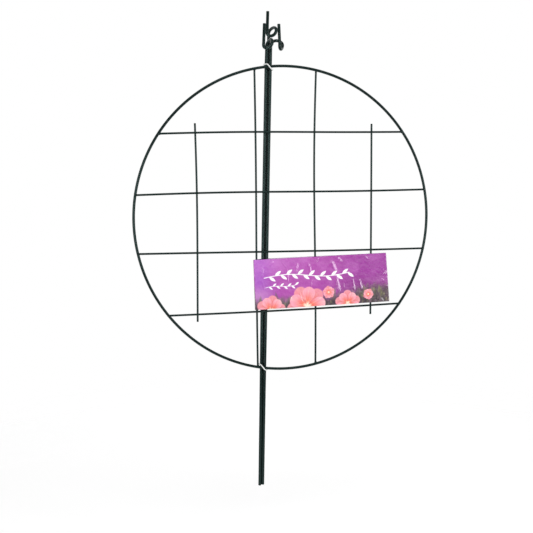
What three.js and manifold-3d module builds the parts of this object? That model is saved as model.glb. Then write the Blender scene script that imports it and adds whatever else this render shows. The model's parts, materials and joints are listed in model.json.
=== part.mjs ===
// Grow-through plant grid, packed flat for the shelf: a round welded wire grid, its three
// legs tied across the back by two twisted ties, and a loose printed sleeve round the
// right-hand wires. Millimetres, +Z up, the front faces -Y. The origin is the spot under
// the top of the hoop, beside the legs, where a peg holds it.

import * as THREE from 'three';
import { mergeVertices } from 'three/addons/utils/BufferGeometryUtils.js';
import Module from 'manifold-3d';

const wasm = await Module();
wasm.setup();

// Room left between pieces that touch
const seatGap = 0.3;

// Hoop
const hoopDiameter = 406.4;
const hoopWire = 3.7;
const pegSide = 12;
const hoopSegments = 120;

// Rows and columns of the grid, welded to each other and to the inside of the hoop
const gridWire = 2.7;
const rowPitch = 79.1;
const columnPitch = 79.8;
const gridDrop = 3.2;
const gridShift = 1.1;
const columnOverhang = 11.4;
const weldInset = 1;
const rowLeans = [0.29, 0.16, -0.45, 0.58];
const columnLeans = [0.33, -0.14, 0.2, 0.25];

// Legs: a straight stake, a one-turn open eye on a level axis, and a short finger
const legWire = 4.1;
const legLength = 592.9;
const eyeRadius = 5.8;
const eyeAdvance = 12.35;
const eyeTilt = 13;
const fingerLength = 26;
const fingerLean = 4;
const fingerBend = 2;
const eyeSteps = 40;

// The bundle of legs across the hoop
const bundleShift = -26.4;
const bundleLean = 1.53;
const headSplay = 1.4;
const footSplay = 0.4;
const leftEyeLift = 25.2;
const rightEyeLift = 26.1;
const rearEyeLift = 41.4;
const leftEyeTurn = -121;
const rightEyeTurn = -32;
const rearEyeTurn = -111;
const leftHeadShare = -0.305;
const rightHeadShare = 0.58;
const rearHeadShare = 0.275;
const sideFootShare = 0.5;
const rearFootShare = 0.05;

// Ties: a soft coated wire round hoop and legs, its two ends twisted together behind
const tieWire = 1.5;
const tieRoom = 0.3;
const tieLean = 52;
const upperTieRise = 3.3;
const lowerTieRise = 3.7;
const tieFall = 4.3;
const twistRadius = 1.1;
const twistPitch = 7;
const twistTurns = 1.75;
const twistDrop = 4.5;
const twistStops = 8;
const tieSteps = 110;

// Where a tie bends round the legs, in degrees seen from above
const rearLegBends = [128, 52];
const leftLegBends = [160, 200];
const rightLegBends = [-25, 15];

// Printed sleeve, trapped between two rows
const sleeveWidth = 187.4;
const sleevePlay = 8.9;
const sleeveWall = 0.4;
const sleeveOffset = 50.9;
const sleeveTilt = 4.4;
const sleeveFlare = 3.6;
const sleeveSlack = 0.5;
const humpMargin = 2.4;
const foldRadius = 1.3;
const foldSteps = 6;
const rightFoldBends = [-90, 90];
const leftFoldBends = [120, 270];

const wireSides = 12;
const tieSides = 8;
const gridCount = 4;

// Sizes that follow from the ones above
const hoopRadius = (hoopDiameter - hoopWire) / 2;
const hoopInside = hoopRadius - hoopWire / 2;
const gridDepth = (gridWire + seatGap) / 2;
const frontLegDepth = (hoopWire + legWire) / 2 + seatGap;
const rearLegDepth = frontLegDepth + legWire + seatGap;
const bundleSlope = Math.tan(THREE.MathUtils.degToRad(bundleLean));
const fingerSlope = Math.tan(THREE.MathUtils.degToRad(fingerLean));
const eyeSlope = Math.tan(THREE.MathUtils.degToRad(eyeTilt));
const tieSlope = Math.tan(THREE.MathUtils.degToRad(tieLean));

const coatedWire = { color: '#1d2e2a', roughness: 0.38, metalness: 0 };
const tieCoat = { color: '#e9e9e4', roughness: 0.5, metalness: 0 };
const printedFilm = { color: '#98409b', roughness: 0.3, metalness: 0 };

function namedMesh(name, geometry, look) {
  const mesh = new THREE.Mesh(geometry, new THREE.MeshStandardMaterial(look));
  mesh.name = name;
  return mesh;
}

// A three.js geometry as a solid for cutting, and back
function solidFrom(geometry) {
  const bare = geometry.clone();
  bare.deleteAttribute('normal');
  bare.deleteAttribute('uv');
  const merged = mergeVertices(bare);
  const vertProperties = new Float32Array(merged.attributes.position.array);
  const triVerts = new Uint32Array(merged.index.array);
  return new wasm.Manifold(new wasm.Mesh({ numProp: 3, vertProperties, triVerts }));
}

function geometryFrom(solid) {
  const mesh = solid.getMesh();
  const geometry = new THREE.BufferGeometry();
  geometry.setAttribute('position', new THREE.BufferAttribute(mesh.vertProperties, 3));
  geometry.setIndex(new THREE.BufferAttribute(mesh.triVerts, 1));
  geometry.computeVertexNormals();
  return geometry;
}

// A wire along a curve that is given point by point, with a ring of sides at each station
class WirePath extends THREE.Curve {
  constructor(pointAt, stations) {
    super();
    this.pointAt = pointAt;
    this.stations = stations;
  }

  getUtoTmapping(u) {
    return u;
  }

  getPoint(t) {
    const last = this.stations.length - 1;
    const index = Math.min(Math.floor(t * last), last - 1);
    const share = t * last - index;
    return this.pointAt(THREE.MathUtils.lerp(this.stations[index], this.stations[index + 1], share));
  }
}

function sectionOf(diameter, sides) {
  const corners = [];
  for (let i = 0; i < sides; i += 1) {
    const angle = (2 * Math.PI * i) / sides;
    corners.push(new THREE.Vector2(Math.cos(angle), Math.sin(angle)).multiplyScalar(diameter / 2));
  }
  return new THREE.Shape(corners);
}

function wireAlong(path, steps, diameter, sides) {
  return new THREE.ExtrudeGeometry(sectionOf(diameter, sides), {
    steps,
    extrudePath: path,
    bevelEnabled: false,
  });
}

// The hoop lies upright in the XZ plane, and its own centre is the grid group's origin
function hoopRing(wire) {
  const ring = new THREE.TorusGeometry(hoopRadius, wire / 2, wireSides, hoopSegments);
  return ring.rotateX(Math.PI / 2);
}

function makeHoop() {
  return namedMesh('hoop', hoopRing(hoopWire), coatedWire);
}

// A straight wire through a point, leaning by a small angle in the grid's plane
function straightWire(start, end) {
  const axis = new THREE.Vector3().subVectors(end, start);
  const wire = new THREE.CylinderGeometry(gridWire / 2, gridWire / 2, axis.length(), wireSides);
  const turn = new THREE.Quaternion().setFromUnitVectors(
    new THREE.Vector3(0, 1, 0),
    axis.clone().normalize(),
  );
  const middle = new THREE.Vector3().addVectors(start, end).multiplyScalar(1 / 2);
  return wire.applyQuaternion(turn).translate(middle.x, middle.y, middle.z);
}

// Cut to the inside of the hoop, so that each end is coped to the round of its wire
function copedToHoop(wire) {
  const rim = hoopRadius - weldInset;
  const disc = new THREE.CylinderGeometry(rim, rim, hoopRadius, hoopSegments);
  const trimmed = solidFrom(wire).intersect(solidFrom(disc));
  return geometryFrom(trimmed.subtract(solidFrom(hoopRing(hoopWire + 2 * seatGap))));
}

function gridPlace(index, pitch) {
  return (index - (gridCount - 1) / 2) * pitch;
}

function rowLevel(index, x) {
  return -gridDrop - gridPlace(index, rowPitch) + x * Math.tan(THREE.MathUtils.degToRad(rowLeans[index]));
}

function columnPlace(index, z) {
  const slope = Math.tan(THREE.MathUtils.degToRad(columnLeans[index]));
  return gridShift + gridPlace(index, columnPitch) + (z + gridDrop) * slope;
}

function makeRow(index) {
  const start = new THREE.Vector3(-hoopRadius, -gridDepth, rowLevel(index, -hoopRadius));
  const end = new THREE.Vector3(hoopRadius, -gridDepth, rowLevel(index, hoopRadius));
  return namedMesh(`row_wire_${index + 1}`, copedToHoop(straightWire(start, end)), coatedWire);
}

// The two middle columns reach the hoop, the outer two end just past the outer rows
function makeColumn(index) {
  const outer = index === 0 || index === gridCount - 1;
  const top = outer ? gridPlace(gridCount - 1, rowPitch) + columnOverhang - gridDrop : hoopRadius;
  const bottom = outer ? gridPlace(0, rowPitch) - columnOverhang - gridDrop : -hoopRadius;
  const start = new THREE.Vector3(columnPlace(index, bottom), gridDepth, bottom);
  const end = new THREE.Vector3(columnPlace(index, top), gridDepth, top);
  const wire = straightWire(start, end);
  return namedMesh(`column_wire_${index + 1}`, outer ? wire : copedToHoop(wire), coatedWire);
}

// A leg's own frame: its stake along Z, its eye centred on the origin's level, the eye's
// axis along X. s runs along the wire from the stake's top.
function legPoint(s) {
  const turned = THREE.MathUtils.clamp(s / eyeRadius, 0, 2 * Math.PI);
  const past = Math.max(s - 2 * Math.PI * eyeRadius, 0);
  const bent = past < fingerBend ? past ** 2 / (2 * fingerBend) : past - fingerBend / 2;
  const rise = eyeRadius * Math.sin(turned);
  return new THREE.Vector3(
    eyeAdvance * THREE.MathUtils.smoothstep(turned, 0, Math.PI) - bent * fingerSlope,
    eyeRadius * (1 - Math.cos(turned)) + rise * eyeSlope,
    Math.min(s, 0) + rise + past,
  );
}

function legStations() {
  const loop = 2 * Math.PI * eyeRadius;
  const stations = [-legLength];
  for (let i = 0; i <= eyeSteps; i += 1) {
    stations.push((loop * i) / eyeSteps);
  }
  return [...stations, loop + fingerBend / 2, loop + fingerBend, loop + fingerLength];
}

// Where each leg lies: shares of the spread at its eye and at its foot, depth, lift of the
// eye over the hoop, and which way the eye is turned
const legs = {
  leg_left: {
    headShare: leftHeadShare,
    footShare: -sideFootShare,
    depth: frontLegDepth,
    lift: leftEyeLift,
    turn: leftEyeTurn,
  },
  leg_right: {
    headShare: rightHeadShare,
    footShare: sideFootShare,
    depth: frontLegDepth,
    lift: rightEyeLift,
    turn: rightEyeTurn,
  },
  leg_rear: {
    headShare: rearHeadShare,
    footShare: rearFootShare,
    depth: rearLegDepth,
    lift: rearEyeLift,
    turn: rearEyeTurn,
  },
};

function bundlePlace(z) {
  return bundleShift + z * bundleSlope;
}

function legSlope(leg) {
  const drift = leg.headShare * (legWire + headSplay) - leg.footShare * (legWire + footSplay);
  return bundleSlope + drift / legLength;
}

function legEye(leg) {
  const z = hoopRadius + hoopWire / 2 + leg.lift;
  return new THREE.Vector3(bundlePlace(z) + leg.headShare * (legWire + headSplay), leg.depth, z);
}

function legPlace(leg, z) {
  const eye = legEye(leg);
  return eye.x + (z - eye.z) * legSlope(leg);
}

function makeLeg(name) {
  const leg = legs[name];
  const stations = legStations();
  const path = new WirePath(legPoint, stations);
  const mesh = namedMesh(name, wireAlong(path, stations.length - 1, legWire, wireSides), coatedWire);
  mesh.rotation.z = THREE.MathUtils.degToRad(leg.turn);
  const leaning = new THREE.Group();
  leaning.position.copy(legEye(leg));
  leaning.rotation.y = Math.atan(legSlope(leg));
  leaning.add(mesh);
  return leaning;
}

// The height at which the middle of the bundle crosses the hoop, at its top or its bottom
function crossingLevel(side) {
  const spread = 1 + bundleSlope ** 2;
  const root = Math.sqrt(spread * hoopRadius ** 2 - bundleShift ** 2);
  return (side * root - bundleShift * bundleSlope) / spread;
}

// A point beside a leg, at the tie's distance from it, seen from above
function besideLeg(leg, level, angle) {
  const reach = (legWire + tieWire) / 2 + tieRoom;
  const direction = THREE.MathUtils.degToRad(angle);
  return {
    x: legPlace(leg, level) + reach * Math.cos(direction),
    y: leg.depth + reach * Math.sin(direction),
  };
}

// One unbroken wire: up one strand of the twist, level round the left leg, down over the
// front of the hoop, round the right leg and down the other strand
function tiePoints(level, rise) {
  const middle = bundlePlace(level);
  const front = -((hoopWire + tieWire) / 2 + tieRoom);
  const round = [
    besideLeg(legs.leg_rear, level, rearLegBends[0]),
    ...leftLegBends.map((bend) => besideLeg(legs.leg_left, level, bend)),
    { x: middle - hoopWire / 2, y: front },
    { x: middle, y: front },
    { x: middle + hoopWire / 2, y: front },
    ...rightLegBends.map((bend) => besideLeg(legs.leg_right, level, bend)),
    besideLeg(legs.leg_rear, level, rearLegBends[1]),
  ];
  const loop = round.map(({ x, y }) => {
    const height = THREE.MathUtils.clamp(tieSlope * (middle - x), -tieFall, rise);
    return new THREE.Vector3(x, y, level + height);
  });
  return [...twistStrand(level, Math.PI).reverse(), ...loop, ...twistStrand(level, 0)];
}

// Half of the twist, behind the rear leg, downwards
function twistStrand(level, phase) {
  const centre = legPlace(legs.leg_rear, level);
  const depth = rearLegDepth + legWire / 2 + tieRoom + twistRadius + tieWire / 2;
  const count = Math.round(twistTurns * twistStops);
  const points = [];
  for (let i = 0; i <= count; i += 1) {
    const angle = phase + (2 * Math.PI * i) / twistStops;
    points.push(new THREE.Vector3(
      centre + twistRadius * Math.cos(angle),
      depth + twistRadius * Math.sin(angle),
      level - twistDrop - (twistPitch * i) / twistStops,
    ));
  }
  return points;
}

// The least gap between two stretches of a wire that are further apart along it
function leastGap(path, steps, diameter) {
  const points = path.getSpacedPoints(steps);
  const apart = Math.ceil((2 * diameter * steps) / path.getLength());
  let least = Infinity;
  for (let i = 0; i < points.length; i += 1) {
    for (let j = i + apart; j < points.length; j += 1) {
      least = Math.min(least, points[i].distanceTo(points[j]));
    }
  }
  return least - diameter;
}

function makeTie(name, side, rise) {
  const path = new THREE.CatmullRomCurve3(tiePoints(crossingLevel(side), rise), false, 'centripetal');
  console.log(`${name}: least gap to itself ${leastGap(path, 4 * tieSteps, tieWire).toFixed(2)} mm`);
  return namedMesh(name, wireAlong(path, tieSteps, tieWire, tieSides), tieCoat);
}

// A closed outline pushed out by a distance, corner by corner
function offsetOutline(points, distance) {
  return points.map((point, i) => {
    const before = points[(i + points.length - 1) % points.length];
    const after = points[(i + 1) % points.length];
    const inward = new THREE.Vector2().subVectors(point, before).normalize();
    const onward = new THREE.Vector2().subVectors(after, point).normalize();
    const normal = new THREE.Vector2(inward.y + onward.y, -inward.x - onward.x).normalize();
    const square = normal.x * inward.y - normal.y * inward.x;
    return point.clone().addScaledVector(normal, distance / square);
  });
}

function foldArc(x, y, bends) {
  const points = [];
  for (let i = 0; i <= foldSteps; i += 1) {
    const angle = THREE.MathUtils.degToRad(THREE.MathUtils.lerp(...bends, i / foldSteps));
    points.push(new THREE.Vector2(x + foldRadius * Math.cos(angle), y + foldRadius * Math.sin(angle)));
  }
  return points;
}

// The sleeve's tilt, place and size follow from the rows above and below it
const sleeveAngle = Math.atan(sleeveTilt / sleeveWidth);
const sleeveHeight = rowPitch - gridWire - sleevePlay;
const sleeveReach = sleeveWidth / 2 + sleeveWall;

function sleeveCorner(sideways, up) {
  return new THREE.Vector2(sideways, up).rotateAround(new THREE.Vector2(), sleeveAngle);
}

function sleeveLevel() {
  const corner = sleeveCorner(-sleeveReach, -sleeveHeight / 2);
  const lowest = rowLevel(gridCount - 1, sleeveOffset + corner.x) + gridWire / 2 + seatGap;
  return lowest - corner.y;
}

// The middle line of the film, seen from above: flat in front of the columns, folded at
// both sides, and carried behind by the rear leg and the last column
function sleeveOutline(level) {
  const front = gridDepth - gridWire / 2 - seatGap - sleeveWall / 2;
  const legsBack = rearLegDepth + legWire / 2 + sleeveSlack + sleeveWall / 2;
  const columnBack = gridDepth + gridWire / 2 + sleeveSlack + sleeveWall / 2;
  const drift = (sleeveHeight / 2) * (bundleSlope + Math.tan(sleeveAngle));
  const humpHalf = legWire + (headSplay + footSplay) / 2 + drift + humpMargin;
  const legsMiddle = bundlePlace(level) - sleeveOffset;
  const lastColumn = columnPlace(gridCount - 1, level) - sleeveOffset;
  const edge = sleeveWidth / 2 - foldRadius;
  const hump = [
    new THREE.Vector2(lastColumn + gridWire, columnBack),
    new THREE.Vector2(legsMiddle + humpHalf, legsBack),
    new THREE.Vector2(legsMiddle - humpHalf / 2, legsBack),
    new THREE.Vector2(legsMiddle - humpHalf, (legsBack + rearLegDepth) / 2),
  ];
  return [
    ...foldArc(edge, front + foldRadius, rightFoldBends),
    ...hump,
    ...foldArc(-edge, front + foldRadius, leftFoldBends),
  ];
}

// The right-hand fold leans outwards towards the bottom
function flareRightSide(places) {
  for (let i = 0; i < places.count; i += 1) {
    const share = Math.max(places.getX(i), 0) / sleeveReach;
    places.setX(i, places.getX(i) - (sleeveFlare * share * places.getZ(i)) / sleeveHeight);
  }
}

function makeSleeve() {
  const level = sleeveLevel();
  const middleLine = sleeveOutline(level);
  const shape = new THREE.Shape(offsetOutline(middleLine, sleeveWall / 2));
  shape.holes.push(new THREE.Path(offsetOutline(middleLine, -sleeveWall / 2)));
  const film = new THREE.ExtrudeGeometry(shape, { depth: sleeveHeight, bevelEnabled: false });
  film.translate(0, 0, -sleeveHeight / 2);
  flareRightSide(film.attributes.position);
  const mesh = namedMesh('label_sleeve', film, printedFilm);
  mesh.position.set(sleeveOffset, 0, level);
  mesh.rotation.y = -sleeveAngle;
  return mesh;
}

function makeGrid() {
  const grid = new THREE.Group();
  grid.add(makeHoop());
  for (let i = 0; i < gridCount; i += 1) {
    grid.add(makeRow(i), makeColumn(i));
  }
  Object.keys(legs).forEach((name) => grid.add(makeLeg(name)));
  grid.add(makeTie('tie_upper', 1, upperTieRise), makeTie('tie_lower', -1, lowerTieRise));
  grid.add(makeSleeve());
  return grid;
}

// The peg bears on the inside of the hoop, pegSide left of its middle
const grid = makeGrid();
grid.position.set(pegSide, 0, -Math.sqrt(hoopInside ** 2 - pegSide ** 2));

const part = new THREE.Group();
part.add(grid);

export default part;
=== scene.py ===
import json
import math

import bpy
import numpy as np
from mathutils import Matrix, Vector, noise


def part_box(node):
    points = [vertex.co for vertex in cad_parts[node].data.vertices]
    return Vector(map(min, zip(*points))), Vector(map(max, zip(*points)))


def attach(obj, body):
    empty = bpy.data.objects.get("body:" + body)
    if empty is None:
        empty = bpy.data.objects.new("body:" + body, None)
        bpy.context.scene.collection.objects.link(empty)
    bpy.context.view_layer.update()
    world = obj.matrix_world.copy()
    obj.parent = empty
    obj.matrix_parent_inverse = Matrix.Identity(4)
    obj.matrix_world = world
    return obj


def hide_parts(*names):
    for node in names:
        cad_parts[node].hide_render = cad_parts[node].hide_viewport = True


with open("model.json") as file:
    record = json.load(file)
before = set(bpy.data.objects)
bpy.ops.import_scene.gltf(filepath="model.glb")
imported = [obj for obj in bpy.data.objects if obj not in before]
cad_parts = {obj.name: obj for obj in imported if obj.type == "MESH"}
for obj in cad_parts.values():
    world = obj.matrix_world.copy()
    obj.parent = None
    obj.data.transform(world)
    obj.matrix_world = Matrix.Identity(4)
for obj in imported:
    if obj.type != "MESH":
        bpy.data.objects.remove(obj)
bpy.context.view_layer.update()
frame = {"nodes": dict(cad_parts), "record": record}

MM = 0.001

# Camera, in the part's frame. The photograph is square, and IMAGE_SIDE pixels wide.
IMAGE_SIDE = 533
CAMERA_PLACE = Vector((-0.2568, -1.1286, -0.1473))
CAMERA_TARGET = Vector((-0.0144, 0, -0.2616))
CAMERA_ROLL = math.radians(-0.61)
FOCAL_PIXELS = 867.4
SENSOR_WIDTH = 36

# Round wires: faces around, stations along, and the rounded rim of a cut end
WIRE_SIDES = 20
LEG_SIDES = 24
HOOP_STEPS = 360
WIRE_STEPS = 120
END_LIP = 0.35 * MM
LIP_STOPS = ((0, 1), (0.3, 0.35), (1, 0))

# How much of a solid's end is read to find its middle or its thickness
END_READ = 3 * MM
FOOT_READ = 1 * MM

# A mesh wire that ends within this many of the hoop's wire radii is welded to it, and sinks into it
HOOP_NEAR = 3
WELD_SINK = 0.9 * MM

# The hoop is a little out of round: how much in two lobes and in three
HOOP_OVAL = -0.57 * MM
HOOP_THREE_LOBED = 0.48 * MM

# How far each mesh wire strays from its straight solid, in millimetres: aside, by a slant, as an arc
# and as an S
WIRE_STRAYS = {
    "row_wire_1": (-0.2, 0.5, 1.1, 0.5),
    "row_wire_2": (0.3, 0.7, 0.6, 0.8),
    "row_wire_3": (0.1, 0.1, -0.5, 0.2),
    "row_wire_4": (-0.1, 0.2, -1.1, 0),
    "column_wire_1": (-0.1, -0.2, 1.3, -0.2),
    "column_wire_2": (-0.6, 0.5, 0.2, -0.4),
    "column_wire_3": (0.4, 0.7, -1.6, 1),
    "column_wire_4": (0, 0.1, 0.2, 0),
}

# Weld beads: half sizes across, in depth and upward, and how uneven they are
CROSSING_BEAD = (1.5 * MM, 1.15 * MM, 1.5 * MM)
HOOP_BEAD = (1.9 * MM, 1.55 * MM, 1.9 * MM)
BEAD_TURNS = 16
BEAD_RINGS = 10
BEAD_SWELL = 0.16
BEAD_SCALE = 1.7
BEAD_SEED = 3.7

# Legs: the eye and the finger above the stake, and how many degrees each eye is turned
EYE_RADIUS = 5.8 * MM
EYE_ADVANCE = 12.35 * MM
EYE_TILT = math.radians(13)
FINGER_LENGTH = 26 * MM
FINGER_LEAN = math.radians(4)
FINGER_BEND = 2 * MM
EYE_TURNS = {"left": -121, "right": -32, "rear": -111}
EYE_STEPS = 96

# How the stakes stray from straight: a bow, and a shift in millimetres at levels in metres
STAKE_BOW = -0.4 * MM
STAKE_SPREADS = {
    "left": ((-0.56, 0.2), (-0.44, 0), (-0.34, -0.35), (-0.25, -0.5), (0, -0.5), (0.03, -0.1)),
    "right": ((-0.56, -0.2), (-0.44, 0), (-0.34, 0.35), (-0.25, 0.5)),
    "rear": ((0, 0),),
}

# Ties: high over the left leg, slanting down across the hoop, low under the right leg, and a twist
# behind. TIE_TURNS are the places on the legs, in degrees round each, on either side of the crossing.
TIE_TURNS = (
    (("rear", 128), ("left", 160), ("left", 200)),
    (("right", -25), ("right", 15), ("rear", 52)),
)
TIE_CROSSING = (-1.3, 0, 1.3)
TIE_STEPS = 8
TIE_LEANS = {"tie_upper": math.radians(50), "tie_lower": math.radians(47)}
TIE_RISES = {"tie_upper": 3.7 * MM, "tie_lower": 3.3 * MM}
TIE_FALLS = {"tie_upper": 4.2 * MM, "tie_lower": 4.3 * MM}
TIE_SHIFTS = {"tie_upper": 0, "tie_lower": -1.4 * MM}
TIE_WIRE = 1.5 * MM
TIE_ROOM = 0.3 * MM
TIE_SIDES = 14
TWIST_RADIUS = 0.95 * MM
TWIST_PITCH = 5.7 * MM
TWIST_TURNS = 2
TWIST_DROP = 4.5 * MM
TWIST_SPLAY = 1.1 * MM
TWIST_STOPS = 12
SPLAY_STOPS = 3

# Printed sleeve: its film, the depth of the inside of its front, and its folds. The left fold lies
# a little outside the solid's.
FILM_THICKNESS = 0.12 * MM
FILM_STEP = 0.6 * MM
FILM_FRONT = -0.15 * MM
FOLD_RADIUS = 1 * MM
FOLD_ASIDE = 0.5 * MM
FOLD_STEPS = 8

# The back film keeps this room behind the legs and the last column. It starts to rise beside the
# legs, at a share of their depth. BACK_SPAN is in radii of a leg.
FILM_ROOM = 0.45 * MM
BACK_SPAN = (1.4, 1.6)
BACK_SHOULDER = 0.72

# The film's wide waves and small ripples, each as height, scale and seed, and the curl of its cut
# edges, which reaches in by a share of the sleeve's height
WAVES = (0.6 * MM, 45, 0)
RIPPLES = (0.15 * MM, 170, 7)
EDGE_CURL = 0.35 * MM
CURL_REACH = 0.05
CURL_SCALE = (9, 2)
CURL_SEED = 3

# Waves and creases die away towards the folds, at a rate and down to a share at the fold itself. The
# front dips in by no more than DIP_LIMIT.
FRONT_CALM = 12
LEFT_FOLD_SHARE = 0.1
RIGHT_FOLD_SHARE = 0.35
BACK_CALM = 10
DIP_LIMIT = 0.05 * MM

# Creases of the film. Each is a ridge with two flat sides, steeper on its left. The list is for the
# front, and the back has the same ones turned round, at a share of the height.
BACK_CREASES = 0.7
CREASE_SLOPES = (math.tan(math.radians(30)), math.tan(math.radians(15)))
CREASES = (
    # start and end as shares of the width and height, ridge height
    ((0.322, 0.910), (0.303, 0.660), 0.68 * MM),
    ((0.396, 0.900), (0.424, 0.600), 0.75 * MM),
    ((0.424, 0.600), (0.410, 0.330), 0.45 * MM),
    ((0.480, 0.985), (0.444, 0.830), 0.75 * MM),
    ((0.610, 0.990), (0.660, 0.850), 1.12 * MM),
    ((0.572, 0.930), (0.604, 0.640), 1.12 * MM),
    ((0.604, 0.640), (0.622, 0.230), 1.20 * MM),
    ((0.655, 0.560), (0.662, 0.300), 0.45 * MM),
    ((0.728, 0.540), (0.738, 0.240), 0.83 * MM),
    ((0.780, 0.520), (0.792, 0.270), 0.90 * MM),
    ((1.000, 0.640), (0.940, 0.560), 1.20 * MM),
    ((0.975, 0.455), (0.910, 0.490), 0.90 * MM),
    ((1.000, 0.340), (0.925, 0.300), 0.90 * MM),
    ((0.830, 0.960), (0.862, 0.890), 0.52 * MM),
    ((0.062, 0.900), (0.050, 0.600), 0.68 * MM),
    ((0.050, 0.600), (0.066, 0.380), 0.52 * MM),
    ((0.200, 0.930), (0.238, 0.800), 0.38 * MM),
    ((0.238, 0.800), (0.246, 0.480), 0.60 * MM),
    ((0.140, 0.960), (0.110, 0.860), 0.60 * MM),
    ((0.325, 0.300), (0.345, 0.090), 0.83 * MM),
    ((0.300, 0.270), (0.410, 0.030), 0.68 * MM),
    ((0.268, 0.240), (0.215, 0.040), 0.68 * MM),
    ((0.090, 0.210), (0.030, 0.140), 0.68 * MM),
    ((0.930, 0.090), (0.960, 0.010), 0.68 * MM),
)

# Polish of the wires' coat and of the film, as the roughness of smoother and of duller patches
COAT_GLOSS = (0.16, 0.28)
COAT_TINT = (0.7, 1, 0.95, 1)
FILM_GLOSS = (0.08, 0.18)

# Floor: its height below the feet, how far out it fades into the white, and its own light to the eye
FLOOR_DROP = 0.11
FLOOR_FADE = (0.5, 1.15)
FLOOR_GLOW = 0.3
FLOOR_STEPS = 24

# World: its light, what the dark side in front of the part gives in reflections, and where that ends
AMBIENT = 0.45
DARK_SIDE = 0.08
DARK_EDGE = 0.3

LAMPS = {
    # place, target, width, height, watts, whether the part mirrors it
    "softbox": ((-0.15, -1.6, 0.05), (-0.15, 0, 0.05), 2.4, 1.0, 5, True),
    "strip_right": ((1.3, -1.2, -0.16), (0, 0, -0.16), 0.5, 1.12, 10, True),
    "strip_left": ((-1.15, -1.25, -0.16), (0, 0, -0.16), 0.5, 1.12, 10, True),
    "overhead": ((0.1, -1.1, 1.25), (0, 0, -0.27), 1.2, 0.5, 6, True),
    "behind": ((0.3, 1.6, 0.35), (0, 0, -0.27), 1.6, 1.0, 9, False),
}


def linear(red, green, blue):
    """A colour given as 0 to 255 on screen, as Blender's linear colour with alpha."""
    shares = [channel / 255 for channel in (red, green, blue)]
    return [s / 12.92 if s <= 0.04045 else ((s + 0.055) / 1.055) ** 2.4 for s in shares] + [1]


COAT_DARK = linear(5, 17, 16)
COAT_LIGHT = linear(10, 26, 24)
COAT_DUST = linear(92, 106, 102)
TIE_WHITE = linear(236, 238, 236)
TIE_SOIL = linear(196, 200, 196)
FILM_LILAC = linear(206, 176, 210)
FILM_PALE = linear(232, 222, 234)
FLOOR_DULL = linear(238, 238, 238)
FLOOR_PALE = linear(243, 243, 243)


def make_camera():
    data = bpy.data.cameras.new("camera")
    data.sensor_width = SENSOR_WIDTH
    data.lens = SENSOR_WIDTH * FOCAL_PIXELS / IMAGE_SIDE
    camera = bpy.data.objects.new("camera", data)
    bpy.context.scene.collection.objects.link(camera)
    aim = (CAMERA_TARGET - CAMERA_PLACE).to_track_quat("-Z", "Y").to_matrix().to_4x4()
    camera.matrix_world = Matrix.Translation(CAMERA_PLACE) @ aim @ Matrix.Rotation(CAMERA_ROLL, 4, "Z")
    bpy.context.scene.camera = camera


class Graph:
    """Short calls for building a material's nodes."""

    def __init__(self, tree):
        self.tree = tree

    def node(self, kind, **settings):
        made = self.tree.nodes.new(kind)
        for name, value in settings.items():
            setattr(made, name, value)
        return made

    def feed(self, socket, value):
        if isinstance(value, bpy.types.NodeSocket):
            self.tree.links.new(value, socket)
        else:
            socket.default_value = value

    def maths(self, operation, *values):
        made = self.node("ShaderNodeMath", operation=operation)
        for socket, value in zip(made.inputs, values):
            self.feed(socket, value)
        return made.outputs[0]

    def add(self, a, b):
        return self.maths("ADD", a, b)

    def subtract(self, a, b):
        return self.maths("SUBTRACT", a, b)

    def multiply(self, a, b):
        return self.maths("MULTIPLY", a, b)

    def rise(self, value, low, high, out_low=0, out_high=1):
        """Goes smoothly from one output to the other as the value goes from low to high."""
        made = self.node("ShaderNodeMapRange", interpolation_type="SMOOTHSTEP")
        for socket, given in zip(made.inputs, (value, low, high, out_low, out_high)):
            self.feed(socket, given)
        return made.outputs[0]

    def mix(self, share, a, b):
        made = self.node("ShaderNodeMix", data_type="RGBA")
        self.feed(made.inputs["Factor"], share)
        self.feed(made.inputs[6], a)
        self.feed(made.inputs[7], b)
        return made.outputs[2]

    def lay(self, colour, over, share, strength):
        """Lays another colour over this one, where the share says, at no more than the strength."""
        return self.mix(self.multiply(share, strength), colour, over)

    def noise(self, vector, scale, detail=2, roughness=0.5):
        made = self.node("ShaderNodeTexNoise")
        self.feed(made.inputs["Vector"], vector)
        made.inputs["Scale"].default_value = scale
        made.inputs["Detail"].default_value = detail
        made.inputs["Roughness"].default_value = roughness
        return made.outputs["Fac"]

    def bump(self, height, distance, after=None):
        made = self.node("ShaderNodeBump")
        made.inputs["Distance"].default_value = distance
        self.feed(made.inputs["Height"], height)
        if after:
            self.feed(made.inputs["Normal"], after)
        return made.outputs[0]


def new_material(name):
    material = bpy.data.materials.new(name)
    material.use_nodes = True
    graph = Graph(material.node_tree)
    return material, graph, material.node_tree.nodes["Principled BSDF"].inputs


def make_coated_wire():
    """Dark blue-green plastic coat: glossy, faintly uneven in colour, thickness and polish."""
    material, graph, shader = new_material("coated_wire")
    place = graph.node("ShaderNodeTexCoord").outputs["Object"]
    patches = graph.noise(place, scale=45, detail=3)
    grain = graph.noise(place, scale=900)
    dust = graph.rise(graph.noise(place, scale=2200, detail=1), low=0.68, high=0.76)
    green = graph.mix(patches, COAT_DARK, COAT_LIGHT)
    graph.feed(shader["Base Color"], graph.lay(green, COAT_DUST, dust, strength=0.12))
    polish = graph.add(patches, graph.multiply(grain, 0.4))
    graph.feed(shader["Roughness"], graph.rise(polish, 0.4, 1, *COAT_GLOSS))
    waves = graph.bump(graph.noise(place, scale=160), distance=0.03 * MM)
    graph.feed(shader["Normal"], graph.bump(grain, distance=0.006 * MM, after=waves))
    shader["Specular IOR Level"].default_value = 0.38
    shader["Specular Tint"].default_value = COAT_TINT
    return material


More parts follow.
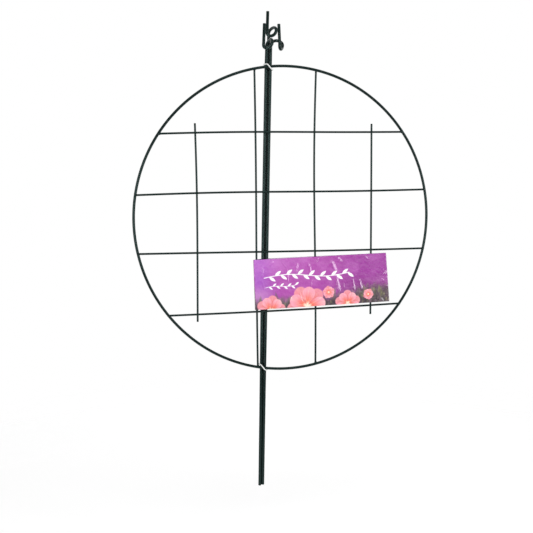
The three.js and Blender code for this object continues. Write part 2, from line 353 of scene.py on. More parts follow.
def make_tie_coat():
    """Off-white plastic coat on soft wire, slightly soiled where it was handled."""
    material, graph, shader = new_material("tie_coating")
    place = graph.node("ShaderNodeTexCoord").outputs["Object"]
    soil = graph.rise(graph.noise(place, scale=380, detail=3), low=0.5, high=0.8)
    graph.feed(shader["Base Color"], graph.lay(TIE_WHITE, TIE_SOIL, soil, strength=0.5))
    graph.feed(shader["Normal"], graph.bump(graph.noise(place, scale=1500), distance=0.05 * MM))
    shader["Roughness"].default_value = 0.42
    shader["Specular IOR Level"].default_value = 0.4
    return material


def new_group(name, inputs, outputs):
    """A node group for one form of the print, which is asked for a place and given a centre."""
    group = bpy.data.node_groups.new(name, "ShaderNodeTree")
    for socket in ("Place", "Centre"):
        group.interface.new_socket(socket, in_out="INPUT", socket_type="NodeSocketVector")
    for socket in inputs:
        group.interface.new_socket(socket, in_out="INPUT", socket_type="NodeSocketFloat")
    for socket in outputs:
        group.interface.new_socket(socket, in_out="OUTPUT", socket_type="NodeSocketFloat")
    graph = Graph(group)
    return group, graph, graph.node("NodeGroupInput").outputs, graph.node("NodeGroupOutput").inputs


def split_offset(graph, place, centre):
    """How far a place lies to the right of a centre and above it."""
    offset = graph.node("ShaderNodeVectorMath", operation="SUBTRACT")
    graph.feed(offset.inputs[0], place)
    graph.feed(offset.inputs[1], centre)
    split = graph.node("ShaderNodeSeparateXYZ")
    graph.feed(split.inputs[0], offset.outputs[0])
    return split.outputs[0], split.outputs[1]


def leaf_group():
    """A pointed leaf as a mask: inside its outline 1, outside 0."""
    inputs = ("Turn", "Half Length", "Half Width", "Blur")
    group, graph, given, done = new_group("leaf", inputs, ("Mask",))
    turned = graph.node("ShaderNodeVectorRotate", rotation_type="Z_AXIS")
    graph.feed(turned.inputs["Vector"], given["Place"])
    graph.feed(turned.inputs["Center"], given["Centre"])
    graph.feed(turned.inputs["Angle"], graph.multiply(given["Turn"], -1))
    right, up = split_offset(graph, turned.outputs[0], given["Centre"])
    along = graph.maths("DIVIDE", right, given["Half Length"])
    edge = graph.multiply(graph.subtract(1, graph.multiply(along, along)), given["Half Width"])
    room = graph.subtract(edge, graph.maths("ABSOLUTE", up))
    graph.feed(done["Mask"], graph.rise(room, graph.multiply(given["Blur"], -1), given["Blur"]))
    return group


def blossom_group():
    """An open blossom: its mask, how far out a point lies, its petals and their streaks."""
    outputs = ("Mask", "Reach", "Petal", "Streak")
    group, graph, given, done = new_group("blossom", ("Turn", "Radius"), outputs)
    right, up = split_offset(graph, given["Place"], given["Centre"])
    distance = graph.maths("SQRT", graph.add(graph.multiply(right, right), graph.multiply(up, up)))
    angle = graph.add(graph.maths("ARCTAN2", up, right), given["Turn"])
    lobe = graph.maths("ABSOLUTE", graph.maths("COSINE", graph.multiply(angle, PETALS / 2)))
    outline = graph.add(1 - PETAL_DEPTH, graph.multiply(graph.maths("POWER", lobe, 0.5), PETAL_DEPTH))
    reach = graph.maths("DIVIDE", distance, given["Radius"])
    spokes = graph.node("ShaderNodeCombineXYZ")
    graph.feed(spokes.inputs[0], graph.multiply(angle, PETALS))
    graph.feed(spokes.inputs[1], reach)
    graph.feed(done["Mask"], graph.rise(graph.subtract(outline, reach), low=-0.03, high=0.04))
    graph.feed(done["Reach"], graph.maths("DIVIDE", reach, outline))
    graph.feed(done["Petal"], lobe)
    graph.feed(done["Streak"], graph.noise(spokes.outputs[0], scale=1.6, detail=3))
    return group


# The print, in millimetres of the flat film: u from its left fold, v from its bottom edge
FOLIAGE = (
    # centre u, centre v, turn in degrees, half length, half width
    (5, 4, 80, 15, 2.6), (31, 6, 100, 17, 3.0), (44, 3, 64, 15, 2.8), (97, 5, 112, 17, 3.0),
    (109, 8, 76, 16, 2.8), (146, 5, 66, 15, 2.6), (157, 9, 102, 18, 3.0), (168, 4, 78, 16, 2.8),
    (181, 7, 108, 17, 2.8),
)
BLOSSOMS = (
    # centre u, centre v, turn, radius
    (21, -2, 0.5, 20), (72, 1, 1.1, 28), (130, 1, 0.3, 18), (103, 18, 0.2, 8.5), (160, 12, 0.8, 7.5),
)
PETALS = 5
PETAL_DEPTH = 0.66
PETAL_RINGS = (
    # further turn, size, share of shade
    (math.pi / PETALS, 1.03, 0.35),
    (0, 0.94, 0),
)
SPRIGS = (
    # start u, start v, length, rise and fall, leaves, half length and half width of a leaf, half
    # width of the stem
    (12, 42, 122, 3, 15, 5.4, 2.0, 0.55),
    (14, 29, 44, 1, 8, 3.2, 1.2, 0.35),
)
SPRIG_LEAF_TURN = 36
SPRIG_CLIMB = 2
SPRIG_TIP = 0.4
INKS = {
    "left purple": linear(166, 86, 190),
    "purple": linear(174, 78, 168),
    "right purple": linear(158, 66, 156),
    "upper lilac": linear(204, 124, 210),
    "lower pink": linear(216, 158, 202),
    "corner plum": linear(112, 52, 104),
    "blotch": linear(208, 128, 206),
    "growth": linear(62, 54, 62),
    "light growth": linear(116, 96, 106),
    "olive": linear(146, 142, 104),
    "blade foot": linear(70, 62, 66),
    "pale blade": linear(132, 130, 96),
    "dark blade": linear(96, 98, 74),
    "coral": linear(240, 112, 88),
    "pink rim": linear(253, 166, 186),
    "petal gap": linear(214, 92, 82),
    "petal streak": linear(255, 214, 204),
    "blossom eye": linear(255, 232, 208),
    "petal shade": linear(204, 96, 96),
    "white": linear(250, 246, 250),
}


def add_group(graph, group, place, **values):
    made = graph.node("ShaderNodeGroup", node_tree=group)
    graph.feed(made.inputs["Place"], place)
    for name, value in values.items():
        made.inputs[name.replace("_", " ")].default_value = value
    return made.outputs


def stretched(graph, place, across, up):
    made = graph.node("ShaderNodeMapping")
    graph.feed(made.inputs["Vector"], place)
    made.inputs["Scale"].default_value = (across, up, 1)
    return made.outputs[0]


def print_ground(graph, u, v, place):
    """Purple, pinker and lighter at the upper left, deeper to the right, as an unsharp background."""
    ground = graph.mix(graph.rise(u, 0, 40), INKS["left purple"], INKS["purple"])
    ground = graph.mix(graph.rise(u, 84, 160), ground, INKS["right purple"])
    upper = graph.multiply(graph.rise(v, 30, 62), graph.rise(u, 100, 20))
    ground = graph.lay(ground, INKS["upper lilac"], upper, strength=0.4)
    lower = graph.multiply(graph.rise(u, 34, 4), graph.rise(v, 36, 18))
    ground = graph.lay(ground, INKS["lower pink"], lower, strength=0.5)
    corner = graph.multiply(graph.rise(u, 70, 178), graph.rise(v, 46, 12))
    ground = graph.lay(ground, INKS["corner plum"], corner, strength=0.8)
    blotches = graph.rise(graph.noise(place, scale=0.05), low=0.45, high=0.7)
    return graph.lay(ground, INKS["blotch"], blotches, strength=0.25)


def print_foliage(graph, colour, u, v, place, leaf):
    """Dark growth along the bottom edge, out of focus, with olive lights and single blades in it."""
    mottle = graph.noise(stretched(graph, place, 0.14, 0.06), scale=1, detail=4, roughness=0.62)
    height = graph.add(graph.multiply(mottle, 24), graph.rise(u, 100, 170, 0, 10))
    growth = graph.rise(graph.subtract(v, height), 7, -7)
    dark = graph.mix(graph.rise(mottle, 0.3, 0.65), INKS["growth"], INKS["light growth"])
    lights = graph.rise(graph.noise(stretched(graph, place, 0.3, 0.13), scale=1, detail=3), 0.52, 0.68)
    dark = graph.lay(dark, INKS["olive"], lights, strength=0.75)
    colour = graph.mix(growth, colour, dark)
    for index, (u0, v0, turn, length, width) in enumerate(FOLIAGE):
        made = add_group(graph, leaf, place, Centre=(u0, v0, 0), Turn=math.radians(turn),
                         Half_Length=length, Half_Width=width, Blur=0.8)
        tone = INKS["dark blade"] if index % 2 else INKS["pale blade"]
        blade = graph.mix(graph.rise(v, 2, 22), INKS["blade foot"], tone)
        colour = graph.lay(colour, blade, made["Mask"], strength=0.6)
    return colour


def print_blossoms(graph, colour, place):
    """Coral blossoms with two rings of petals, pink rims and a pale eye."""
    blossom = blossom_group()
    for u0, v0, turn, radius in BLOSSOMS:
        for further, size, shade in PETAL_RINGS:
            made = add_group(graph, blossom, place, Centre=(u0, v0, 0), Turn=turn + further,
                             Radius=radius * size)
            petal = graph.mix(graph.rise(made["Reach"], 0.2, 0.95), INKS["coral"], INKS["pink rim"])
            gaps = graph.rise(made["Petal"], 0.55, 0)
            petal = graph.lay(petal, INKS["petal gap"], gaps, strength=0.55)
            streaks = graph.rise(made["Streak"], 0.45, 0.75)
            petal = graph.lay(petal, INKS["petal streak"], streaks, strength=0.5)
            petal = graph.mix(graph.rise(made["Reach"], 0.3, 0.1), petal, INKS["blossom eye"])
            petal = graph.mix(shade, petal, INKS["petal shade"])
            colour = graph.mix(made["Mask"], colour, petal)
    return colour


def print_sprigs(graph, colour, u, v, place, leaf):
    """White sprigs across the middle: a thin stem with leaves by turns above and below."""
    for u0, v0, length, rise, leaves, half_length, half_width, stem in SPRIGS:
        share = graph.maths("DIVIDE", graph.subtract(u, u0), length)
        wave = graph.multiply(graph.maths("SINE", graph.multiply(share, 2 * math.pi)), rise)
        level = graph.add(graph.add(wave, v0), graph.multiply(share, SPRIG_CLIMB))
        line = graph.rise(graph.maths("ABSOLUTE", graph.subtract(v, level)), stem * 1.3, stem * 0.6)
        within = graph.multiply(graph.rise(share, 0, 0.01), graph.rise(share, 1, 0.99))
        colour = graph.mix(graph.multiply(line, within), colour, INKS["white"])
        for index in range(leaves):
            along = (index + 1) / (leaves + SPRIG_TIP)
            turn = math.radians(SPRIG_LEAF_TURN if index % 2 else -SPRIG_LEAF_TURN)
            joint = v0 + rise * math.sin(2 * math.pi * along) + SPRIG_CLIMB * along
            centre = (u0 + length * along + half_length * math.cos(turn),
                      joint + half_length * math.sin(turn), 0)
            made = add_group(graph, leaf, place, Centre=centre, Turn=turn,
                             Half_Length=half_length, Half_Width=half_width, Blur=0.2)
            colour = graph.mix(made["Mask"], colour, INKS["white"])
    return colour


def make_printed_film():
    """Glossy printed film: purple ground, dark growth, coral blossoms and white sprigs."""
    material, graph, shader = new_material("printed_film")
    place = graph.node("ShaderNodeUVMap", uv_map="film").outputs[0]
    split = graph.node("ShaderNodeSeparateXYZ")
    graph.feed(split.inputs[0], place)
    u, v = split.outputs[0], split.outputs[1]
    leaf = leaf_group()
    colour = print_ground(graph, u, v, place)
    colour = print_foliage(graph, colour, u, v, place, leaf)
    colour = print_blossoms(graph, colour, place)
    colour = print_sprigs(graph, colour, u, v, place, leaf)
    graph.feed(shader["Base Color"], colour)
    crinkle = graph.bump(graph.noise(place, scale=0.9, detail=3), distance=0.06 * MM)
    puckers = graph.noise(place, scale=0.22, detail=3)
    graph.feed(shader["Normal"], graph.bump(puckers, distance=0.5 * MM, after=crinkle))
    polish = graph.noise(place, scale=0.25)
    graph.feed(shader["Roughness"], graph.rise(polish, 0.3, 0.8, *FILM_GLOSS))
    shader["Specular IOR Level"].default_value = 0.95
    return material


def make_film_edge():
    """The cut edge and the unprinted inside of the film."""
    material, graph, shader = new_material("film_edge")
    place = graph.node("ShaderNodeTexCoord").outputs["Object"]
    graph.feed(shader["Base Color"], graph.mix(graph.noise(place, scale=300), FILM_LILAC, FILM_PALE))
    graph.feed(shader["Normal"], graph.bump(graph.noise(place, scale=700), distance=0.03 * MM))
    shader["Roughness"].default_value = 0.25
    return material


def new_piece(name, verts, faces, material, flat=()):
    mesh = bpy.data.meshes.new(name)
    mesh.from_pydata([tuple(v) for v in verts], [], faces)
    mesh.polygons.foreach_set("use_smooth", [True] * len(faces))
    for index in flat:
        mesh.polygons[index].use_smooth = False
    mesh.materials.append(material)
    piece = bpy.data.objects.new(name, mesh)
    bpy.context.scene.collection.objects.link(piece)
    return piece


def unit(vectors):
    return vectors / np.linalg.norm(vectors, axis=-1, keepdims=True)


def ring_frames(points, closed):
    """Two directions across a path at each of its points, which don't twist along it."""
    if closed:
        ahead = np.roll(points, -1, 0) - np.roll(points, 1, 0)
    else:
        ahead = np.gradient(points, axis=0)
    ahead = unit(ahead)
    across = np.zeros_like(points)
    start = np.eye(3)[np.argmin(np.abs(ahead[0]))]
    for index, direction in enumerate(ahead):
        start = start - direction * start.dot(direction)
        start = start / np.linalg.norm(start)
        across[index] = start
    return across, np.cross(ahead, across)


def tube(name, points, radii, material, sides=WIRE_SIDES, closed=False):
    """A round wire along a path, with its own radius at each point."""
    points = np.asarray(points, float)
    count = len(points)
    radii = np.broadcast_to(radii, count)
    first, second = ring_frames(points, closed)
    angles = np.arange(sides) * 2 * math.pi / sides
    ways = np.cos(angles)[:, None] * first[:, None] + np.sin(angles)[:, None] * second[:, None]
    rings = points[:, None] + radii[:, None, None] * ways
    faces = []
    for i in range(count if closed else count - 1):
        low, high = i * sides, (i + 1) % count * sides
        for j in range(sides):
            k = (j + 1) % sides
            faces.append((low + j, low + k, high + k, high + j))
    flat = ()
    if not closed:
        flat = (len(faces), len(faces) + 1)
        faces.append(tuple(reversed(range(sides))))
        faces.append(tuple(range((count - 1) * sides, count * sides)))
    return new_piece(name, rings.reshape(-1, 3), faces, material, flat)


def with_lips(points, radius, lip=END_LIP):
    """Adds the rounded rims of two cut ends to a path, and gives each point its radius."""
    points = np.asarray(points, float)
    radii = np.full(len(points), radius)
    for end, inner in ((0, 1), (-1, -2)):
        towards = unit(points[inner] - points[end])
        stops = [points[end] + towards * lip * along for along, _ in LIP_STOPS]
        sizes = [radius - lip * inset for _, inset in LIP_STOPS]
        if end:
            points = np.vstack([points[:-1], stops[::-1]])
            radii = np.concatenate([radii[:-1], sizes[::-1]])
        else:
            points = np.vstack([stops, points[1:]])
            radii = np.concatenate([sizes, radii[1:]])
    return points, radii


def node_points(node):
    return np.array([v.co for v in frame["nodes"][node].data.vertices], float)


def wire_ends(node, axis):
    """The centres of a straight wire's two ends. axis is the one that it runs along."""
    points = node_points(node)
    ends = []
    for side in (-1, 1):
        limit = (side * points[:, axis]).max()
        near = points[side * points[:, axis] > limit - END_READ]
        centre = (near.max(0) + near.min(0)) / 2
        centre[axis] = side * limit
        ends.append(centre)
    return ends


def wire_radius(node):
    """Half of a level or upright wire's thickness, which its box shows in depth."""
    low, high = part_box(node)
    return (high.y - low.y) / 2


hoop_low, hoop_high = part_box("hoop")
hoop_centre = (hoop_low + hoop_high) / 2
hoop_wire = wire_radius("hoop")
hoop_radius = (hoop_high.x - hoop_low.x) / 2 - hoop_wire


def hoop_reach(angle):
    return hoop_radius + HOOP_OVAL * math.cos(2 * angle) + HOOP_THREE_LOBED * math.sin(3 * angle)


def make_hoop(material):
    points = []
    for step in range(HOOP_STEPS):
        angle = 2 * math.pi * step / HOOP_STEPS
        right, up = hoop_reach(angle) * math.cos(angle), hoop_reach(angle) * math.sin(angle)
        points.append((hoop_centre.x + right, 0, hoop_centre.z + up))
    hoop = tube("coated_hoop", points, hoop_wire, material, closed=True)
    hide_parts("hoop")
    return hoop


class MeshWire:
    """A level or upright wire of the grid, which strays a little from straight."""

    def __init__(self, node, axis):
        self.node = node
        self.axis = axis
        self.radius = wire_radius(node)
        self.start, self.end = wire_ends(node, axis)
        self.aside, self.slant, self.arc, self.wave = (stray * MM for stray in WIRE_STRAYS[node])

    def point(self, share):
        place = self.start + (self.end - self.start) * share
        arc = self.arc * (math.sin(math.pi * share) - 2 / math.pi)
        wave = self.wave * math.sin(2 * math.pi * share)
        place[2 - self.axis] += self.aside + self.slant * (2 * share - 1) + arc + wave
        return place

    def share_at(self, level):
        return (level - self.start[self.axis]) / (self.end[self.axis] - self.start[self.axis])

    def meets_hoop(self, end):
        place = self.point(end)
        reach = math.hypot(place[0] - hoop_centre.x, place[2] - hoop_centre.z)
        return reach > hoop_radius - HOOP_NEAR * hoop_wire

    def make(self, material):
        sink = WELD_SINK / np.linalg.norm(self.end - self.start)
        low = -sink if self.meets_hoop(0) else 0
        high = 1 + sink if self.meets_hoop(1) else 1
        path = [self.point(share) for share in np.linspace(low, high, WIRE_STEPS)]
        points, radii = with_lips(path, self.radius)
        piece = tube("coated_" + self.node, points, radii, material)
        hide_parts(self.node)
        return piece


def bead(centre, half_sizes, seed):
    """A weld's small swelling under the coat: a soft, slightly uneven drop."""
    verts, faces = [], []
    for ring in range(BEAD_RINGS + 1):
        tilt = math.pi * ring / BEAD_RINGS
        for turn in range(BEAD_TURNS):
            angle = 2 * math.pi * turn / BEAD_TURNS
            way = Vector((math.sin(tilt) * math.cos(angle), math.cos(tilt),
                          math.sin(tilt) * math.sin(angle)))
            swell = 1 + BEAD_SWELL * noise.noise(way * BEAD_SCALE + Vector((seed, 0, 0)))
            verts.append([c + w * h * swell for c, w, h in zip(centre, way, half_sizes)])
    for ring in range(BEAD_RINGS):
        for turn in range(BEAD_TURNS):
            after = (turn + 1) % BEAD_TURNS
            low, high = ring * BEAD_TURNS, (ring + 1) * BEAD_TURNS
            faces.append((low + turn, low + after, high + after, high + turn))
    return verts, faces


def make_beads(rows, columns, material):
    """All the welds of the grid: at each crossing, and where a wire meets the hoop."""
    places = []
    for row in rows:
        for column in columns:
            on_row = row.point(row.share_at(column.point(0.5)[0]))
            on_column = column.point(column.share_at(on_row[2]))
            on_row = row.point(row.share_at(on_column[0]))
            places.append(((on_row + on_column) / 2, CROSSING_BEAD))
    for wire in rows + columns:
        for end in (0, 1):
            if wire.meets_hoop(end):
                centre = wire.point(end)
                centre[1] /= 2
                places.append((centre, HOOP_BEAD))
    verts, faces = [], []
    for seed, (centre, half_sizes) in enumerate(places):
        more, sides = bead(centre, half_sizes, BEAD_SEED * seed)
        faces += [tuple(len(verts) + i for i in side) for side in sides]
        verts += more
    return new_piece("weld_beads", verts, faces, material)


class Leg:
    """A leg: its foot, its direction, its thickness, and the way that its eye is turned."""

    def __init__(self, side):
        self.node = f"leg_{side}"
        self.body = f"{side}_leg"
        mount = next(m for m in frame["record"]["mounts"] if m["name"] == f"foot_{side}")
        self.foot = np.array(mount["pos_m"])
        self.way = -np.array(mount["axis"])
        offsets = node_points(self.node) - self.foot
        heights = offsets @ self.way
        ring = offsets[heights < FOOT_READ]
        self.radius = np.linalg.norm(ring, axis=1).max()
        self.stake = heights.max() - FINGER_LENGTH - self.radius * math.sin(FINGER_LEAN)
        self.turn = math.radians(EYE_TURNS[side])
        self.spread_levels, self.spreads = zip(*STAKE_SPREADS[side])

    def bend(self, level):
        """How far the real stake lies to the side of the straight one, by its bow and its spread."""
        share = min(max((level - self.foot[2]) / self.stake, 0), 1)
        spread = np.interp(level, self.spread_levels, self.spreads) * MM
        return STAKE_BOW * math.sin(math.pi * share) + spread

    def x_at(self, level):
        return self.foot[0] + (level - self.foot[2]) * self.way[0] / self.way[2] + self.bend(level)

    def point(self, s):
        """A point of the wire in the leg's own frame. The eye starts where s is 0."""
        turned = min(max(s / EYE_RADIUS, 0), 2 * math.pi)
        past = max(s - 2 * math.pi * EYE_RADIUS, 0)
        bent = past ** 2 / (2 * FINGER_BEND) if past < FINGER_BEND else past - FINGER_BEND / 2
        ease = min(turned / math.pi, 1)
        reach = EYE_ADVANCE * ease * ease * (3 - 2 * ease)
        rise = EYE_RADIUS * math.sin(turned)
        return Vector((reach - bent * math.tan(FINGER_LEAN),
                       EYE_RADIUS * (1 - math.cos(turned)) + rise * math.tan(EYE_TILT),
                       min(s, 0) + rise + past))

    def make(self, material):
        loop = 2 * math.pi * EYE_RADIUS
        stations = np.concatenate([
            np.linspace(-self.stake, 0, WIRE_STEPS)[:-1],
            np.linspace(0, loop + FINGER_BEND, EYE_STEPS)[:-1],
            np.linspace(loop + FINGER_BEND, loop + FINGER_LENGTH, EYE_STEPS // 4),
        ])
        lean = math.atan2(self.way[0], self.way[2])
        turned = Matrix.Rotation(lean, 4, "Y") @ Matrix.Rotation(self.turn, 4, "Z")
        place = Matrix.Translation(Vector(self.foot + self.way * self.stake)) @ turned
        path = []
        for s in stations:
            straight = place @ self.point(s)
            path.append(straight + Vector((self.bend(straight.z), 0, 0)))
        points, radii = with_lips(path, self.radius)
        piece = tube("coated_" + self.node, points, radii, material, LEG_SIDES)
        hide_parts(self.node)
        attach(piece, self.body)
        return piece


def smooth_through(points, steps):
    """A smooth curve through the points, with a number of steps for each stretch."""
    points = np.array([2 * points[0] - points[1], *points, 2 * points[-1] - points[-2]])
    knots = np.concatenate([[0], np.cumsum(np.sqrt(np.linalg.norm(np.diff(points, axis=0), axis=1)))])
    curve = []
    for i in range(1, len(points) - 2):
        p0, p1, p2, p3 = points[i - 1:i + 3]
        t0, t1, t2, t3 = knots[i - 1:i + 3]
        for t in np.linspace(t1, t2, steps, endpoint=False):
            a1 = ((t1 - t) * p0 + (t - t0) * p1) / (t1 - t0)
            a2 = ((t2 - t) * p1 + (t - t1) * p2) / (t2 - t1)
            a3 = ((t3 - t) * p2 + (t - t2) * p3) / (t3 - t2)
            b1 = ((t2 - t) * a1 + (t - t0) * a2) / (t2 - t0)
            b2 = ((t3 - t) * a2 + (t - t1) * a3) / (t3 - t1)
            curve.append(((t2 - t) * b1 + (t - t1) * b2) / (t2 - t1))
    return curve + [points[-2]]


def twist_strand(leg, level, phase):
    """One of the two strands of a tie's twist, behind the rear leg, from its top down."""
    x = leg.x_at(level)
    depth = leg.foot[1] + leg.radius + TIE_ROOM + TWIST_RADIUS + TIE_WIRE / 2
    points = []
    count = round(TWIST_TURNS * TWIST_STOPS)
    for i in range(count + 1):
        angle = phase + 2 * math.pi * i / TWIST_STOPS
        spread = TWIST_RADIUS + TWIST_SPLAY * max(i - count + SPLAY_STOPS, 0) / SPLAY_STOPS
        points.append(np.array([x + spread * math.cos(angle), depth + spread * math.sin(angle),
                                level - TWIST_DROP - TWIST_PITCH * i / TWIST_STOPS]))
    return points


def hoop_level(x, side):
    """The height of the hoop's centre line, on its upper (1) or lower (-1) side."""
    return hoop_centre.z + side * math.sqrt(hoop_radius ** 2 - (x - hoop_centre.x) ** 2)


def beside_leg(leg, degrees, level):
    """Where a tie lies beside a leg, seen from above."""
    reach = leg.radius + TIE_WIRE / 2 + TIE_ROOM
    angle = math.radians(degrees)
    return leg.x_at(level) + reach * math.cos(angle), leg.foot[1] + reach * math.sin(angle)


def make_tie(node, legs, material):
    """Down over the front of the hoop, round the legs, and twisted together behind them."""
    low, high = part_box(node)
    side = 1 if (low.z + high.z) / 2 > hoop_centre.z else -1
    level = hoop_level(legs["left"].x_at(high.z), side)
    middle = (legs["left"].x_at(level) + legs["right"].x_at(level)) / 2 + TIE_SHIFTS[node]
    front = -(hoop_wire + TIE_WIRE / 2 + TIE_ROOM)
    before, after = (
        [beside_leg(legs[name], turn, level) for name, turn in turns] for turns in TIE_TURNS
    )
    crossing = [(middle + offset * hoop_wire, front) for offset in TIE_CROSSING]
    around = []
    for x, y in before + crossing + after:
        height = (middle - x) * math.tan(TIE_LEANS[node])
        height = min(max(height, -TIE_FALLS[node]), TIE_RISES[node])
        around.append(np.array([x, y, hoop_level(x, side) + height]))
    rear = legs["rear"]
    points = twist_strand(rear, level, math.pi)[::-1] + around + twist_strand(rear, level, 0)
    path, radii = with_lips(smooth_through(points, TIE_STEPS), TIE_WIRE / 2, END_LIP / 2)
    piece = tube("twisted_" + node, path, radii, material, TIE_SIDES)
    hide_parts(node)
    return piece


def film_corner(right, up):
    """The sleeve's corner that lies furthest towards one side and towards its top or bottom."""
    points = node_points("label_sleeve")
    return points[np.argmax(points[:, 0] * right + points[:, 2] * up)]


def back_line(x, legs, columns, fold_left, fold_right, fold_depth, level):
    """How far back the rear film lies: carried by the legs and the last column, else straight."""
    rear = legs["rear"]
    legs_back = rear.foot[1] + rear.radius + FILM_ROOM
    column = columns[-1]
    column_x = column.point(column.share_at(level))[0]
    column_back = column.start[1] + column.radius + FILM_ROOM
    left = legs["left"].x_at(level) - BACK_SPAN[0] * rear.radius
    right = rear.x_at(level) + BACK_SPAN[1] * rear.radius
    stops = [fold_left, left - rear.radius, left + rear.radius, right, column_x, fold_right]
    depths = [fold_depth, BACK_SHOULDER * legs_back, legs_back, legs_back, column_back, fold_depth]
    return np.interp(x, stops, depths)


def crease_heights(across, up, width, height):
    """How far the film stands out at points of one level, for its creases and its gentle waves."""
    stands = np.zeros_like(across)
    for start, end, tall in CREASES:
        a = np.array([start[0] * width, start[1] * height])
        b = np.array([end[0] * width, end[1] * height])
        run = b - a
        off_x, off_y = across - a[0], up - a[1]
        along = np.clip((off_x * run[0] + off_y * run[1]) / (run @ run), 0, 1)
        distance = np.hypot(off_x - along * run[0], off_y - along * run[1])
        right_side = run[0] * off_y - run[1] * off_x > 0
        slopes = np.where(right_side, CREASE_SLOPES[1], CREASE_SLOPES[0])
        ridge = tall * (1 - (2 * along - 1) ** 4) - slopes * distance
        stands = np.maximum(stands, ridge)
    for tall, scale, seed in (WAVES, RIPPLES):
        stands += tall * np.array([noise.noise(Vector((x, up, seed)) * scale) for x in across])
    return stands


def film_fold(x, depth, level, side, start):
    """The film's half turn: to the back at the right fold (side 1), to the front at the left (-1)."""
    points, places = [], []
    for i in range(1, FOLD_STEPS):
        angle = math.pi * i / FOLD_STEPS
        points.append([x + side * FOLD_RADIUS * math.sin(angle),
                       depth + side * FOLD_RADIUS * (1 - math.cos(angle)), level])
        places.append(start + FOLD_RADIUS * angle)
    return points, places


def film_section(share_v, corners, legs, columns):
    """The sleeve's outline at one height: its points, and how far each lies along the film."""
    left = corners["bottom_left"] + (corners["top_left"] - corners["bottom_left"]) * share_v
    right = corners["bottom_right"] + (corners["top_right"] - corners["bottom_right"]) * share_v
    left[0] -= FOLD_ASIDE
    width = right[0] - left[0]
    height = np.linalg.norm(corners["top_left"] - corners["bottom_left"])
    fold_left, fold_right = left[0] + FOLD_RADIUS, right[0] - FOLD_RADIUS
    front = FILM_FRONT - FILM_THICKNESS
    fold_depth = front + 2 * FOLD_RADIUS
    half_turn = math.pi * FOLD_RADIUS
    count = round((corners["bottom_right"][0] - corners["bottom_left"][0]) / FILM_STEP)
    points, places = [], []

    edge_curl = EDGE_CURL * (math.exp(-share_v / CURL_REACH) + math.exp(-(1 - share_v) / CURL_REACH))
    shares = np.linspace(0, 1, count + 1)
    swells = crease_heights(shares * width, share_v * height, width, height)
    for share, swell in zip(shares, swells):
        near_left = FRONT_CALM * share + LEFT_FOLD_SHARE
        near_right = FRONT_CALM * (1 - share) + RIGHT_FOLD_SHARE
        swell *= min(1, near_left, near_right)
        place = Vector((share * CURL_SCALE[0], share_v * CURL_SCALE[1], CURL_SEED))
        curl = edge_curl * noise.noise(place)
        points.append([fold_left + (fold_right - fold_left) * share,
                       front - max(swell, -DIP_LIMIT) - curl, left[2] + (right[2] - left[2]) * share])
        places.append(share * width)
    turned = film_fold(fold_right, front, right[2], 1, width)
    points += turned[0]
    places += turned[1]

    back_shares = np.linspace(1, 0, count // 2 + 1)
    swells = crease_heights((1 - back_shares) * width, (1 - share_v) * height, width, height)
    for share, swell in zip(back_shares, swells):
        x = fold_left + (fold_right - fold_left) * share
        level = left[2] + (right[2] - left[2]) * share
        depth = back_line(x, legs, columns, fold_left, fold_right, fold_depth, level)
        swell *= BACK_CREASES * min(1, BACK_CALM * share, BACK_CALM * (1 - share))
        points.append([x, depth + max(swell, 0), level])
        places.append(width + half_turn + (1 - share) * width)
    turned = film_fold(fold_left, fold_depth, left[2], -1, 2 * width + half_turn)
    points += turned[0]
    places += turned[1]
    return np.array(points), np.array(places)


def make_sleeve(legs, columns, film, edge):
    """The printed film round the wires, with its cut edges and unprinted inside."""
    corners = {
        "top_left": film_corner(-1, 1), "top_right": film_corner(1, 1),
        "bottom_left": film_corner(-1, -1), "bottom_right": film_corner(1, -1),
    }
    tall = np.linalg.norm(corners["top_left"] - corners["bottom_left"])
    rows = round(tall / FILM_STEP)
    sections = [film_section(row / rows, corners, legs, columns) for row in range(rows + 1)]
    outer = np.array([points for points, _ in sections])
    around = outer.shape[1]
    side = np.roll(outer, -1, 1) - np.roll(outer, 1, 1)
    inward = unit(np.stack([-side[:, :, 1], side[:, :, 0], np.zeros(side.shape[:2])], -1))
    inner = outer + inward * FILM_THICKNESS
    verts = np.concatenate([outer.reshape(-1, 3), inner.reshape(-1, 3)])
    inside = (rows + 1) * around
    faces, uvs = [], []
    tall_mm = tall / MM
    for i in range(rows):
        places = sections[i][1] / MM
        length = places[-1] + FILM_STEP / MM
        for j in range(around):
            k = (j + 1) % around
            faces.append((i * around + j, i * around + k, (i + 1) * around + k, (i + 1) * around + j))
            after = places[k] if k else length
            low, high = tall_mm * i / rows, tall_mm * (i + 1) / rows
            uvs += [(places[j], low), (after, low), (after, high), (places[j], high)]
    printed = len(faces)
    for i in range(rows):
        for j in range(around):
            k = (j + 1) % around
            a, b = inside + i * around, inside + (i + 1) * around
            faces.append((a + k, a + j, b + j, b + k))
    for j in range(around):
        k = (j + 1) % around
        top = rows * around
        faces.append((k, j, inside + j, inside + k))
        faces.append((top + j, top + k, inside + top + k, inside + top + j))
    cut_edges = range(len(faces) - 2 * around, len(faces))
    sleeve = new_piece("printed_sleeve", verts, faces, film, cut_edges)
    sleeve.data.materials.append(edge)
    sleeve.data.polygons.foreach_set("material_index", [0] * printed + [1] * (len(faces) - printed))
    layer = sleeve.data.uv_layers.new(name="film")
    flat = np.zeros((len(sleeve.data.loops), 2))
    flat[:len(uvs)] = uvs
    layer.data.foreach_set("uv", flat.ravel())
    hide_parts("label_sleeve")
    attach(sleeve, "label")
    return sleeve


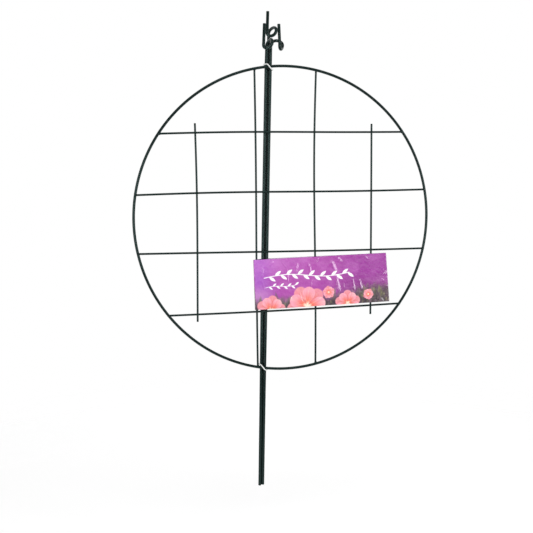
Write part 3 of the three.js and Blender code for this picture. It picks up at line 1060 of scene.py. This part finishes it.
def make_floor():
    """A pale floor below the hanging part, which keeps its shadow and fades into white further out."""
    material, graph, shader = new_material("pale_floor")
    place = graph.node("ShaderNodeTexCoord").outputs["Object"]
    graph.feed(shader["Base Color"], graph.mix(graph.noise(place, scale=3), FLOOR_DULL, FLOOR_PALE))
    graph.feed(shader["Normal"], graph.bump(graph.noise(place, scale=60), distance=0.1 * MM))
    shader["Roughness"].default_value = 0.8
    shader["Specular IOR Level"].default_value = 0.1
    shader["Emission Color"].default_value = (1, 1, 1, 1)
    seen = graph.node("ShaderNodeLightPath").outputs["Is Camera Ray"]
    graph.feed(shader["Emission Strength"], graph.multiply(seen, FLOOR_GLOW))
    flat = graph.node("ShaderNodeVectorMath", operation="MULTIPLY")
    graph.feed(flat.inputs[0], place)
    flat.inputs[1].default_value = (1, 1, 0)
    reach = graph.node("ShaderNodeVectorMath", operation="LENGTH")
    graph.feed(reach.inputs[0], flat.outputs[0])
    graph.feed(shader["Alpha"], graph.rise(reach.outputs["Value"], *reversed(FLOOR_FADE)))
    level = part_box("leg_left")[0].z - FLOOR_DROP
    side = np.linspace(-FLOOR_FADE[1], FLOOR_FADE[1], FLOOR_STEPS + 1)
    verts = [(x, y, level) for y in side for x in side]
    faces = []
    for i in range(FLOOR_STEPS):
        for j in range(FLOOR_STEPS):
            low = i * (FLOOR_STEPS + 1) + j
            high = low + FLOOR_STEPS + 1
            faces.append((low, low + 1, high + 1, high))
    floor = new_piece("pale_floor", verts, faces, material)


def make_world():
    """White to the eye, and in reflections white behind the part and dark in front of it."""
    world = bpy.data.worlds.new("studio")
    bpy.context.scene.world = world
    world.use_nodes = True
    graph = Graph(world.node_tree)
    rays = graph.node("ShaderNodeLightPath").outputs
    split = graph.node("ShaderNodeSeparateXYZ")
    graph.feed(split.inputs[0], graph.node("ShaderNodeTexCoord").outputs["Generated"])
    sides = graph.rise(split.outputs[1], -DARK_EDGE, DARK_EDGE, DARK_SIDE, 1)
    mirrored = graph.multiply(rays["Is Glossy Ray"], sides)
    seen = graph.maths("MAXIMUM", rays["Is Camera Ray"], rays["Is Transmission Ray"])
    rest = graph.subtract(1, graph.maths("MAXIMUM", seen, rays["Is Glossy Ray"]))
    background = world.node_tree.nodes["Background"].inputs
    background["Color"].default_value = (1, 1, 1, 1)
    light = graph.add(graph.add(seen, mirrored), graph.multiply(rest, AMBIENT))
    graph.feed(background["Strength"], light)


def make_lamp(name, place, target, width, height, watts, mirrored):
    data = bpy.data.lights.new(name, "AREA")
    data.shape = "RECTANGLE"
    data.size = width
    data.size_y = height
    data.energy = watts
    lamp = bpy.data.objects.new(name, data)
    bpy.context.scene.collection.objects.link(lamp)
    aim = (Vector(target) - Vector(place)).to_track_quat("-Z", "Y").to_matrix().to_4x4()
    lamp.matrix_world = Matrix.Translation(place) @ aim
    lamp.visible_camera = False
    lamp.visible_glossy = mirrored


make_camera()
bpy.context.scene.view_settings.view_transform = "Standard"

coated_wire = make_coated_wire()
tie_coat = make_tie_coat()
printed_film = make_printed_film()
film_edge = make_film_edge()

rows = [MeshWire(f"row_wire_{i}", 0) for i in range(1, 5)]
columns = [MeshWire(f"column_wire_{i}", 2) for i in range(1, 5)]
legs = {side: Leg(side) for side in ("left", "right", "rear")}

grid_pieces = [make_hoop(coated_wire)]
grid_pieces += [wire.make(coated_wire) for wire in rows + columns]
grid_pieces.append(make_beads(rows, columns, coated_wire))
ties = [make_tie(node, legs, tie_coat) for node in ("tie_upper", "tie_lower")]
for piece in grid_pieces + ties:
    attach(piece, "grid")
leg_pieces = [leg.make(coated_wire) for leg in legs.values()]
sleeve = make_sleeve(legs, columns, printed_film, film_edge)

make_floor()
make_world()
for name, settings in LAMPS.items():
    make_lamp(name, *settings)
